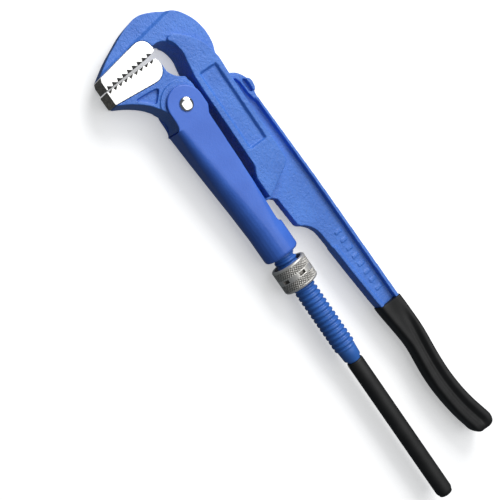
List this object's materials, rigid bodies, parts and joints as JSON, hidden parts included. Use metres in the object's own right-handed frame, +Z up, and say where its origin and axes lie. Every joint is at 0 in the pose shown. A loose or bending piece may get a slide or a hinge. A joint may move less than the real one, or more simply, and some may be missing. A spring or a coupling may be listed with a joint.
{
  "type": "pipe wrench",
  "caption": "Swedish-pattern 90 degree pipe wrench: hooked main arm, riveted lower jaw in a sliding sleeve, threaded rod with a knurled adjusting nut and dipped grips.",
  "frame": {"origin": "centre of the wrench's footprint, on the surface it lies on", "axes": "+Y from the handles to the jaws, +X from the threaded rod to the back of the main arm, +Z up out of the wrench's plane"},
  "size_m": [0.1068, 0.423, 0.0306],
  "materials": {
    "forged_paint": "blue enamel on a rough forging, satin gloss",
    "sleeve_paint": "blue enamel on smooth sheet steel, gloss",
    "rod_paint": "blue enamel on a rolled thread, gloss",
    "ground_steel": "surface ground hardened steel",
    "rivet_steel": "bright domed rivet",
    "nickel_plate": "nickel plated, diamond knurled",
    "plain_steel": "plain steel",
    "vinyl": "dipped vinyl, satin black"
  },
  "bodies": {
    "arm": {"main_arm": "forged_paint", "upper_jaw_block": "ground_steel", "main_grip": "vinyl"},
    "rod": {"screw_rod": "rod_paint", "arm_pivot_pin": "plain_steel", "rod_grip": "vinyl"},
    "slider": {"sleeve": "sleeve_paint", "jaw_rivet": "rivet_steel", "friction_spring": "plain_steel"},
    "jaw": {"lower_jaw": "forged_paint", "lower_jaw_block": "ground_steel"},
    "nut": {"adjusting_nut": "nickel_plate"}
  },
  "joints": [
    {"name": "handle_swing", "type": "hinge", "parent": "arm", "child": "rod", "pos_m": [-0.01175, 0.0641, 0.0153], "axis": [0, 0, 1], "range_deg": [0, 6]},
    {"name": "sleeve_slide", "type": "slide", "parent": "rod", "child": "slider", "axis": [0, -1, 0], "range_m": [0, 0.048]},
    {"name": "nut_spin", "type": "hinge", "parent": "slider", "child": "nut", "pos_m": [-0.01175, -0.0017, 0.0153], "axis": [0, -1, 0], "range_deg": [0, 4320.5]},
    {"name": "jaw_pivot", "type": "hinge", "parent": "slider", "child": "jaw", "pos_m": [-0.01175, 0.1431, 0.0153], "axis": [0, 0, 1], "range_deg": [0, 3]}
  ],
  "couplings": [
    {"joint": "nut_spin", "follows": "sleeve_slide", "rad_per_m": 1570.8}
  ]
}
